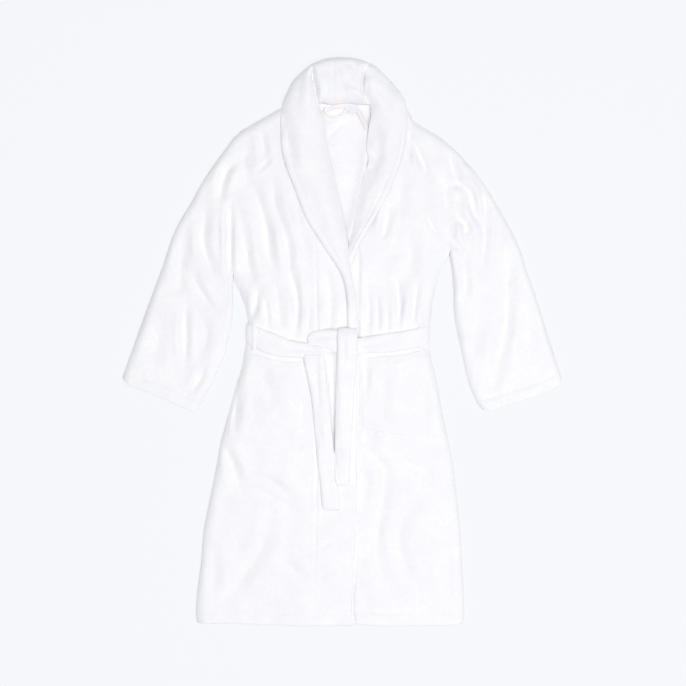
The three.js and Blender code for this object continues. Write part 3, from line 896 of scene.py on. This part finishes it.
def stand(name, side_line, crown, seam_side):
    """Half of the collar behind the neck, from the neck seam to the roll at the top.

    Seam_side is the side of the grid where the centre back seam is: 0 for left, 1 for right."""
    seam_top = crown[-1] if seam_side == 1 else crown[0]
    seam_line = curve(seam_top, (CENTRE_BACK, 521))
    left, right = (side_line, seam_line) if seam_side == 1 else (seam_line, side_line)
    raised = left[-1] * 0.66 + right[-1] * 0.34 + [0, 3]
    brim = curve(left[-1], raised, (left[-1] + right[-1] * 3) / 4, right[-1])
    plan = patch(left, right, 3.0, top=curve(*crown), bottom=brim)
    left_run, right_run, head, tail = runs(plan)
    seam_run, free_run = (left_run, right_run) if seam_side == 0 else (right_run, left_run)
    x, y = plan[..., 0], plan[..., 1]
    shape = np.minimum(round_over(head, 17), 0.02 + 0.98 * round_over(tail, 26))
    shape = np.minimum(shape, 0.1 + 0.9 * round_over(np.maximum(free_run - 7.5, 0), 15))
    height = 12 + 34 * shape + 2.5 * np.sin((y - 520) / 33)
    height += lumps(x, y, 30, 3.0, 41.0) + lumps(x, y, 11, 0.6, 43.0)
    height += COLLAR_FOLDS * fold_heights(
        x, y,
        [
            ([(12, 612), (30, 592), (40, 562)], 6, 3.0),
            ([(2, 606), (20, 575), (36, 548)], 6, 2.4),
            ([(6, 558), (22, 546), (40, 540)], 6, -2.6),
            ([(-30, 562), (-33, 546), (-30, 530)], 8, 2.0),
            ([(-8, 600), (-6, 580), (-10, 560)], 12, 1.4),
        ],
    )
    height -= 0.6 * np.exp(-((seam_run / 2.6) ** 2))
    return cloth(name, skin_from(plan, height), COLLAR_PLY, fleece)


back_collar_right = stand(
    "back_collar_right",
    curve((-74, 603.5), (-71, 586), (-65, 556), (-58, 521)),
    [(-74, 603.5), (-62, 611), (-45, 618.5), (-28, 623), (CENTRE_BACK, 624)],
    1,
)
back_collar_left = stand(
    "back_collar_left",
    curve((70, 607), (58, 586), (56, 562), (59, 538), (66, 521)),
    [(CENTRE_BACK + 0.3, 624), (8, 624.5), (36, 621), (58, 613), (70, 607)],
    0,
)


# %% [markdown]
# ### The layer under the collar
# A collar is two layers, sewn together along the edge and turned. The lower one shows only as a second
# line under the edge, so it is the fall's own skin, moved down by one layer and trimmed a little.


# %% Under-collars
def under_collar(name, skin, gap=0.5, ply=3.4):
    """The layer under a fall, which shows only along its edge."""
    facing_down = skin - skin_normals(skin) * (COLLAR_PLY + gap)
    trimmed = facing_down[4:-4, 6:-8]
    return cloth(name, trimmed, ply, fleece)


right_under = under_collar("right_under_collar_cloth", right_fall_skin)
left_under = under_collar("left_under_collar_cloth", left_fall_skin)

# %% [markdown]
# ## Patch pockets
# A pocket is sewn onto the front on three sides, and its mouth is a turned hem just under the sash.


# %% Pockets
POCKET_HEM = 24  # depth of the turned hem at a pocket's mouth
POCKET_SEAM = 6  # from a pocket's sewn edges to their stitches


def pocket(name, side, left, right, bottom, mouth_top):
    """A patch pocket on one front, following the folds below it."""
    plan = patch(left, right, 3.2, top=mouth_top, bottom=bottom)
    left_run, right_run, head, tail = runs(plan)
    base = heights_on([front_trees[side]], plan[..., 0], plan[..., 1], missing=SEAM_HEIGHT)
    sewn = np.minimum(np.minimum(left_run, right_run), tail)
    swell = 2.4 * round_over(sewn, 10) + 0.9 * ease(sewn, 8, 40)
    hem = 0.7 * (1 - ease(head, POCKET_HEM - 6, POCKET_HEM + 3))
    groove = 0.8 * np.exp(-(((head - POCKET_HEM) / 2.6) ** 2))
    swell += hem - groove
    swell -= 0.8 * np.exp(-(((sewn - POCKET_SEAM) / 2.0) ** 2))
    swell += lumps(plan[..., 0], plan[..., 1], 12, 0.5, 51.0)
    rim = round_over(head, 3.0)
    mouth = (0.45 + 0.55 * ease(head, 0, 16)) * (0.6 + 0.4 * rim)
    top = base + 0.2 + np.maximum(swell * mouth, THINNEST)
    under = np.minimum(base + 0.2 + (swell - 3.2) * ease(sewn, 5, 14), top - 0.25)
    skin = skin_from(plan, top)
    return cloth(name, skin, 0, fleece, inside=skin_from(plan, under)), plan


right_pocket, right_pocket_plan = pocket(
    "right_pocket_cloth", "right",
    curve((-207, -29), (-213, -58), (-226, -97), (-240, -150), (-250, -204)),
    curve((-84, -43), (-87, -140), (-92, -220)),
    curve((-250, -204), (-226, -219), (-160, -224), (-92, -220)),
    curve((-207, -29), (-186, -28.5), (-160, -36.5), (-124, -43.5), (-84, -43)),
)
left_pocket, left_pocket_plan = pocket(
    "left_pocket_cloth", "left",
    curve((45, -35), (45, -120), (46, -189)),
    curve((195, -19), (209, -100), (224, -176), (229, -204)),
    curve((46, -189), (90, -198), (135, -204), (229, -206)),
    curve((45, -35), (98, -32), (140, -27), (178, -18), (195, -19)),
)

# %% [markdown]
# ## The sash
# The sash is a long tube of cloth pressed flat, so every length of it is a soft strip with a stitched
# line inside each edge. `strip` fills the space between two edges, which are drawn in three dimensions.


# %% Strips
def strip(
    name, edge_a, edge_b, half_thick, seed,
    folds=(), material=None, cell=2.6, stitch=6.0, ends=4.0, sides=8.0, on=(), off=(-1, -1), relief=1.0,
    end_pull=0.0,
):
    """A soft flat strip between two edges, which rests on the pieces in on, except between the shares off.

    Sides and ends are the radii of its rounded rim, stitch is how far in its stitched line lies, relief
    scales the unevenness of its face, and end_pull is how far each side draws in at its last end."""
    middle = patch(edge_a, edge_b, cell)
    a_run, b_run, head, tail = runs(middle)
    side_run = np.minimum(a_run, b_run)
    axis = (middle[:, :1] + middle[:, -1:]) / 2
    half_width = a_run[:, -1:] / 2
    narrow = 1 - end_pull / half_width * (1 - round_over(tail.mean(axis=1, keepdims=True), 2 * end_pull + 1))
    middle = axis + (middle - axis) * narrow[..., None]
    if on:
        share = head / head[-1:]
        below = heights_on(on, middle[..., 0], middle[..., 1])
        soft = smoothed(below, 11)
        level = 0.75 * soft.mean(axis=1, keepdims=True) + 0.25 * soft
        resting = np.maximum(below - 1.5, level) + half_thick + 0.4
        free = ease(share, off[0] - 0.06, off[0]) * (1 - ease(share, off[1], off[1] + 0.14))
        middle[..., 2] = resting + (middle[..., 2] - resting) * free
    normal = skin_normals(middle)
    bulge = half_thick * np.minimum(round_over(side_run, sides), round_over(np.minimum(head, tail), ends))
    bulge = np.maximum(bulge, 0.15)
    # The edges sink towards what the strip lies on, so that no slit opens under them.
    middle = middle - normal * ((half_thick - bulge) * 0.55)[..., None]
    x, y = middle[..., 0], middle[..., 1]
    detail = lumps(x, y, 26, 1.3, seed) + lumps(x, y, 9, 0.5, seed + 3) + fold_heights(x, y, folds)
    detail -= 0.6 * np.exp(-(((side_run - stitch) / 1.8) ** 2))
    fade = relief * ease(side_run, 0, 8) * ease(np.minimum(head, tail), 0, 8)
    skin = middle + normal * (bulge + detail * fade)[..., None]
    inside = middle - normal * np.maximum(bulge - 0.2, 0.1)[..., None]
    return cloth(name, skin, 0, material or sash_fleece, inside=inside)


fronts = list(front_trees.values())
belt_right = strip(
    "belt_right_run",
    curve(
        (-190, 40, 3.4), (-203, 40, 4.8), (-206.5, 41, 14), (-205.5, 40.5, 22), (-200, 38.5, 26),
        (-190, 35.5, 28), (-155, 22, 31), (-111, 4, 33.5), (-75, -2, 38), (-42, -9, 41), (-13, -19, 41),
    ),
    curve(
        (-190, -4, 3.4), (-203, -3, 4.8), (-206.5, -3, 14), (-205.5, -5, 21), (-200, -8, 25),
        (-190, -13, 27), (-163, -26, 30), (-124, -34, 32), (-86, -35, 34), (-47, -29, 38), (-12, -23, 39),
    ),
    3.8, 61.0, on=fronts, off=(-1, 0.13), ends=14.0,
    folds=[([(-26, -20), (-70, -18), (-120, -12)], 4, 2.0), ([(-190, 14), (-150, 0), (-110, -16)], 5, 1.0)],
)
belt_left = strip(
    "belt_left_run",
    curve(
        (174, 40, 3.4), (188, 40, 4.8), (191.5, 40, 12), (188, 38.5, 21), (178, 35, 26), (140, 25, 29),
        (100, 19, 30), (60, 13, 32), (26, 7, 36),
    ),
    curve(
        (174, -4, 3.4), (188, -4, 4.8), (191.5, -4, 12), (188, -5.5, 20), (178, -9, 25), (140, -18, 29),
        (98, -23, 30), (60, -25, 32), (26, -27, 36),
    ),
    3.8, 65.0, on=fronts, off=(-1, 0.16), ends=14.0,
    folds=[([(34, -8), (70, -4), (110, 4)], 5, 1.2), ([(150, 20), (160, 4), (166, -12)], 7, 1.0)],
)
span_y = [box_mm("belt_back_span")[k][1] for k in (0, 1)]
span_x = [box_mm("belt_back_span")[k][0] for k in (0, 1)]
belt_back = strip(
    "belt_back_run",
    curve((span_x[0] + 6, span_y[1], 2.3), (span_x[1] - 6, span_y[1], 2.3)),
    curve((span_x[0] + 6, span_y[0], 2.3), (span_x[1] - 6, span_y[0], 2.3)),
    1.6, 69.0, cell=5.0, relief=0.3,
)

# %% [markdown]
# ### The knot and its two free ends
# The loop of the knot is a plump fold lying on its side. The upper end comes over the top of the knot
# and hangs down the front. The lower end comes out from under the sash and passes beneath it.

# %% Knot and tails
knot_lobe = strip(
    "knot_lobe",
    curve((-77, 7, 30), (-69, 21, 31), (-50, 28, 32), (-20, 28, 35), (4, 25, 36)),
    curve((-75, -3, 30), (-60, -10, 31), (-42, -15, 32), (-20, -22, 34), (4, -26, 35)),
    5.0, 73.0,
    folds=[([(-60, 8), (-40, 12), (-12, 12)], 6, 2.0), ([(-50, -4), (-34, -6), (-12, -8)], 5, 1.2)],
    stitch=11.0, ends=14.0, sides=11.0,
)
lower_tail = strip(
    "lower_tail",
    curve(
        (-84, -24, 30), (-83, -37, 32), (-67, -117, 33), (-60, -180, 33), (-55, -240, 33), (-48, -300, 33),
        (-42, -368, 33),
    ),
    curve(
        (-38, -24, 30), (-36, -36, 32), (-28, -106, 33), (-20, -194, 33), (-14, -260, 33), (-7, -310, 33),
        (0, -368, 33),
    ),
    3.8, 81.0, on=fronts, ends=8.0, end_pull=7.0,
    folds=[
        ([(-62, -50), (-54, -90), (-44, -140)], 7, 1.4), ([(-38, -250), (-28, -300), (-26, -350)], 7, 1.2)
    ],
)
upper_tail = strip(
    "upper_tail",
    curve(
        (-7, 30, 33), (-9, 25, 40), (-10, 10, 45), (-9, -14, 44.5), (-11, -50, 41), (-13, -100, 38),
        (-15, -187, 37), (-15, -260, 41), (-14, -314, 39.5),
    ),
    curve(
        (33, 30, 33), (34, 25, 40), (35, 10, 45), (34, -14, 44.5), (32, -64, 39), (28, -120, 36.5),
        (23, -200, 36), (20, -260, 36), (18, -314, 35.5),
    ),
    4.0, 77.0, on=fronts + [tree_of(lower_tail)], off=(0, 0.13), ends=8.0, end_pull=7.0,
    folds=[
        ([(2, 20), (6, -10), (4, -50)], 5, 1.6), ([(22, 18), (24, -20), (20, -60)], 5, 1.3),
        ([(-4, -150), (8, -180), (14, -230)], 7, 1.2),
    ],
)

# %% [markdown]
# ### The belt loops
# A narrow loop on each side seam keeps the sash at the waist. It climbs over whatever lies there, so
# rays find the heights of the cloth and of the sash along it, and `strip` gives it its thickness.

# %% Belt loops
loop_trees = [front_trees["right"], front_trees["left"], tree_of(belt_right), tree_of(belt_left)]


def belt_loop(name, x, low_y, high_y):
    """A narrow strip over the sash, sewn down at both ends."""
    ys = np.linspace(high_y, low_y, 9)
    on = heights_on(loop_trees, np.full(9, x), ys, missing=SEAM_HEIGHT)
    lift = np.array([0.2, 0.5, 0.9, 1.0, 1.0, 1.0, 0.9, 0.5, 0.2])
    on = np.maximum(on, np.convolve(np.pad(on, 1, mode="edge"), [1 / 3] * 3, mode="valid")) + lift
    a = curve(*zip(np.full(9, x - 5), ys, on))
    b = curve(*zip(np.full(9, x + 5), ys, on - 0.3))
    return strip(name, a, b, 1.0, 85.0, material=fleece, cell=1.6, stitch=2.4, relief=0.3, sides=3.0)


right_loop = belt_loop("right_belt_loop_cloth", -190, -18, 44)
left_loop = belt_loop("left_belt_loop_cloth", 175, -15, 42)

# %% [markdown]
# ## Inside the neck and inside the body
# The tape covers the neck seam, the hanging loop is a rolled tube, and both labels are plain satin.


# %% Tubes
def tube(name, path, radius, material, sides=12):
    """A round tube along a path, closed at both ends."""
    line = curve(*path, count=60)
    steps = np.gradient(line, axis=0)
    steps /= np.linalg.norm(steps, axis=1, keepdims=True)
    up = np.array([0, 0, 1.0])
    beside = np.cross(steps, up)
    beside /= np.linalg.norm(beside, axis=1, keepdims=True)
    above = np.cross(beside, steps)
    taper = np.ones(60)
    taper[[0, -1]] = 0.05
    bm = bmesh.new()
    rings = []
    for k in range(60):
        made = bmesh.ops.create_circle(bm, segments=sides, radius=1)
        for v in made["verts"]:
            offset = (beside[k] * v.co.x + above[k] * v.co.y) * radius * taper[k]
            v.co = (line[k] + offset) * MM
        rings.append([e for e in bm.edges if e.verts[0] in made["verts"] and e.verts[1] in made["verts"]])
    for a, b in zip(rings, rings[1:]):
        bmesh.ops.bridge_loops(bm, edges=a + b)
    bmesh.ops.contextual_create(bm, geom=rings[0])
    bmesh.ops.contextual_create(bm, geom=rings[-1])
    bmesh.ops.recalc_face_normals(bm, faces=bm.faces)
    return finish_mesh(bm, name, material)


back_tree = tree_of(back_cloth)


def on_back(*places):
    """Places in plan with a lift, as points on the back's inside."""
    spots = np.array(places, float)
    return np.column_stack([spots[:, :2], heights_on([back_tree], spots[:, 0], spots[:, 1]) + spots[:, 2]])


hanging_loop = tube(
    "hanging_loop_tube",
    on_back(
        (-33, 518, 2.6), (-36, 508, 3), (-28, 498, 3), (-12, 494, 3), (0, 498, 3), (8, 507, 3), (12, 516, 2.6)
    ),
    2.6, fleece,
)
tape_line = curve(*on_back((-46, 500, 1.2), (-18, 516, 1.2), (24, 517, 1.2), (40, 502, 1.2), (56, 468, 1.2)))
along = np.gradient(tape_line, axis=0)
along /= np.linalg.norm(along, axis=1, keepdims=True)
sideways = np.column_stack([-along[:, 1], along[:, 0], np.zeros(len(along))])
neck_tape = strip(
    "neck_tape_strip", tape_line + 5 * sideways, tape_line - 5 * sideways, 0.8, 91.0,
    material=twill, cell=1.6, stitch=1.6, sides=1.5, relief=0.3,
)


def label(name, x, y, z, drop):
    """A small satin label, slightly curled at its free end."""
    plan = patch(curve((x[0], y[1]), (x[0], y[0])), curve((x[1], y[1]), (x[1], y[0])), 1.2)
    tail = runs(plan)[2]
    height = z + drop * (tail / tail.max()) ** 2 + 0.3 * np.sin(plan[..., 0] / 3.0)
    return cloth(name, skin_from(plan, height), 0.5, satin)


label_rest = heights_on([back_tree], np.array([25.0]), np.array([NECK - 12]))[0]
neck_label = label("neck_label_satin", (13, 37), (NECK - 21, NECK - 3), label_rest + 3.2, 1.5)
care_box = box_mm("care_label")
care_label = label(
    "care_label_satin", (care_box[0][0], care_box[1][0]), (care_box[0][1], care_box[1][1]), 12.0, 0.5
)

# %% [markdown]
# ## Seams and facings, inside the robe
# Where two panels are sewn, their trimmed edges lie pressed together inside, and each free edge of the
# fronts is backed by a strip turned in. They show only when the robe is looked into, so they are plain.


# %% Seam allowances and facings
def allowance(name, line, inset, z_low, z_high):
    """The two trimmed edges of a seam, pressed together inside the robe, an inset in from its line."""
    outer = line[:, :2]
    inner = outer + inset
    a = np.column_stack([outer, np.full(len(outer), z_low)])
    b = np.column_stack([inner, np.full(len(inner), z_high)])
    return strip(name, a, b, 1.5, 95.0, material=fleece, cell=6.0, stitch=4.0, sides=3.0, relief=0.3)


# A curve has 240 places, so a slice of it takes the stretch that the seam's edges run along.
right_seam = allowance("right_side_seam_edge", side_r[85:], np.array([12, 0]), 8.0, 10.0)
left_seam = allowance("left_side_seam_edge", side_l[85:], np.array([-12, 0]), 8.0, 10.0)
right_shoulder = allowance("right_shoulder_seam_edge", shoulder_r[12:130], np.array([3, -12]), 14.0, 15.0)
left_shoulder = allowance("left_shoulder_seam_edge", shoulder_l[110:228], np.array([-3, -12]), 13.0, 14.0)


def facing(name, side, free_edge, back_edge):
    """The strip of cloth turned back inside a free edge."""
    plan = patch(back_edge, free_edge, 5.0)
    x, y = plan[..., 0], plan[..., 1]
    top = lie(x, y, side) - PILE - 0.4
    if side == "left":
        top = np.minimum(top, lie(x, y, "right") - 2 * PILE - FACING - 1.6)
    return cloth(name, skin_from(plan, top), FACING, fleece)


right_facing = facing(
    "right_facing_cloth", "right",
    curve(
        (25, 96), (32, 40), (33, -26), (32, -183), (31, -282), (32, -339), (27, -458), (20, -576),
        (23, HEM + 6),
    ),
    curve((-50, 96), (-52, 0), (-54, -244), (-56, -376), (-62, HEM + 6)),
)
left_facing = facing(
    "left_facing_cloth", "left",
    curve((24, 40), (24, -200), (24, -400), (24, HEM + 6)),
    curve((-53, 40), (-53, -200), (-53, -400), (-53, HEM + 6)),
)

# %% [markdown]
# ## Stitching
# A row of thread shows as short stitches that sink a little into the pile. A ray finds the cloth under
# both ends of each stitch, and an icosphere is stretched between them, thick in its middle as thread is.


# %% Stitches
def line_inside(plan, distance, side):
    """The line at a distance inside one side of a plan."""
    turned = plan if side in ("left", "right") else plan.swapaxes(0, 1)
    if side in ("right", "bottom"):
        turned = turned[:, ::-1]
    run = runs(turned)[0]
    return np.array([[np.interp(distance, r, p[:, k]) for k in (0, 1)] for r, p in zip(run, turned)])


def stitches(name, rows, pitch=4.2, length=3.0, thick=0.8):
    """One object that holds the stitches of some rows. Each row is a line in plan and the cloth it is on."""
    bm = bmesh.new()
    for line, piece in rows:
        tree = tree_of(piece)
        whole = np.linalg.norm(np.diff(line, axis=0), axis=1).sum()
        centres = (np.arange(int(whole / pitch)) + 0.5) * pitch / whole
        line = resample(line, 300)
        ends = [at(line, np.clip(centres + half * length / whole, 0, 1)) for half in (-0.5, 0.5)]
        levels = [heights_on([tree], e[:, 0], e[:, 1], missing=-1) for e in ends]
        for a, b, low, high in zip(*ends, *levels):
            if min(low, high) < 0:
                continue
            start, stop = Vector((*a, low)) * MM, Vector((*b, high)) * MM
            middle = Matrix.Translation((start + stop) / 2)
            turn = (stop - start).to_track_quat("X", "Z").to_matrix().to_4x4()
            size = Matrix.Diagonal(((stop - start).length / 2, thick / 2 * MM, thick / 2 * MM, 1))
            bmesh.ops.create_icosphere(bm, subdivisions=1, radius=1, matrix=middle @ turn @ size)
    return finish_mesh(bm, name, thread)


PAST_SHOULDER = 40  # the row of a fall's grid where its stitching comes into sight
body_rows = [
    (line_inside(right_plan, HEM_BAND, "bottom"), right_front),
    (line_inside(left_plan, HEM_BAND, "bottom"), left_front),
    (curve(*FACING_LINE), right_front),
    (line_inside(right_fall_plan[PAST_SHOULDER:], COLLAR_BAND, "left"), right_fall),
    (line_inside(left_fall_plan[PAST_SHOULDER:], COLLAR_BAND, "left"), left_fall),
]
for pocket_piece, pocket_plan in ((right_pocket, right_pocket_plan), (left_pocket, left_pocket_plan)):
    body_rows.append((line_inside(pocket_plan, POCKET_HEM, "top"), pocket_piece))
    for edge in ("left", "right", "bottom"):
        body_rows.append((line_inside(pocket_plan, POCKET_SEAM, edge), pocket_piece))
body_stitches = stitches("body_stitching", body_rows)
right_cuff_stitches = stitches(
    "right_cuff_stitching", [(line_inside(right_sleeve_plan, HEM_BAND, "bottom"), right_sleeve)]
)
left_cuff_stitches = stitches(
    "left_cuff_stitching", [(line_inside(left_sleeve_plan, HEM_BAND, "bottom"), left_sleeve)]
)

# %% [markdown]
# ## Stage, camera and light
# White cloth on a white ground shows by its shadows alone. One big lamp above, a little to one side,
# keeps them soft, and a pale world fills them. The floor glows slightly, as a lit white backdrop does.

# %% Stage, camera and light
scene = bpy.context.scene
scene.view_settings.view_transform = "Standard"

bm = bmesh.new()
bmesh.ops.create_grid(bm, x_segments=1, y_segments=1, size=6)
floor_material, tree = new_material("painted studio floor")
floor_shader = add_node(
    tree, "ShaderNodeBsdfPrincipled",
    {
        "Base Color": linear("606163"), "Roughness": 1.0, "Specular IOR Level": 0.0,
        "Emission Color": linear("F6F8FB"), "Emission Strength": 0.875,
    },
)
add_node(tree, "ShaderNodeOutputMaterial", {"Surface": floor_shader.outputs[0]})
floor = finish_mesh(bm, "floor", floor_material)

camera_data = bpy.data.cameras.new("camera")
camera_data.lens = 85
camera_data.sensor_width = 36
camera = bpy.data.objects.new("camera", camera_data)
camera.location = (0.0033, -0.0022, 3.57)
scene.collection.objects.link(camera)
scene.camera = camera

world = bpy.data.worlds.new("soft white room")
world.use_nodes = True
world.node_tree.nodes["Background"].inputs["Color"].default_value = linear("FAFBFF")
world.node_tree.nodes["Background"].inputs["Strength"].default_value = 0.46
scene.world = world


def soft_light(name, place, size, power):
    """A large square lamp that looks at the middle of the robe."""
    data = bpy.data.lights.new(name, "AREA")
    data.size = size
    data.energy = power
    lamp = bpy.data.objects.new(name, data)
    lamp.location = place
    lamp.rotation_euler = (-Vector(place)).to_track_quat("-Z", "Y").to_euler()
    scene.collection.objects.link(lamp)


soft_light("overhead", (0.65, -0.45, 3.9), 2.3, 96)
print("stage:", camera.name, "at", tuple(round(v, 4) for v in camera.location))

# %% [markdown]
# ## Riding on the frame
# Most pieces move with a body of the imported part. The sleeves and the free ends of the sash are cloth
# that bends across a joint; here they are only baked in place and ride on no body.

# %% Ride on the frame
ROOT_PIECES = {
    right_front: ["right_front"],
    left_front: ["left_front"],
    back_cloth: ["back_panel"],
    right_fall: ["right_collar"],
    left_fall: ["left_collar"],
    back_collar_right: ["right_collar"],
    back_collar_left: ["left_collar"],
    right_under: ["right_under_collar"],
    left_under: ["left_under_collar"],
    right_pocket: ["right_pocket"],
    left_pocket: ["left_pocket"],
    belt_right: ["belt_right_span"],
    belt_left: ["belt_left_span"],
    belt_back: ["belt_back_span"],
    knot_lobe: ["belt_knot"],
    right_loop: ["right_belt_loop"],
    left_loop: ["left_belt_loop"],
    neck_tape: ["neck_tape"],
    care_label: ["care_label"],
    right_seam: ["right_side_seam"],
    left_seam: ["left_side_seam"],
    right_shoulder: ["right_shoulder_seam"],
    left_shoulder: ["left_shoulder_seam"],
    right_facing: ["right_front_facing"],
    left_facing: ["left_front_facing"],
}
for piece, nodes in ROOT_PIECES.items():
    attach(piece, "root")
    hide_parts(*nodes)
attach(body_stitches, "root")
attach(right_cuff_stitches, "right_sleeve")
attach(left_cuff_stitches, "left_sleeve")
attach(hanging_loop, "hanging_loop")
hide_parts("hanging_loop")
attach(neck_label, "neck_label")
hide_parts("neck_label")
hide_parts("right_sleeve")
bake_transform(right_sleeve)
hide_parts("left_sleeve")
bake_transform(left_sleeve)
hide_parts("belt_upper_tail", "belt_knot_strand")
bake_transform(upper_tail)
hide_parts("belt_lower_tail")
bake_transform(lower_tail)
print("pieces on the root:", len(ROOT_PIECES) + 1, "and on a moving body, or blended to one: 8")
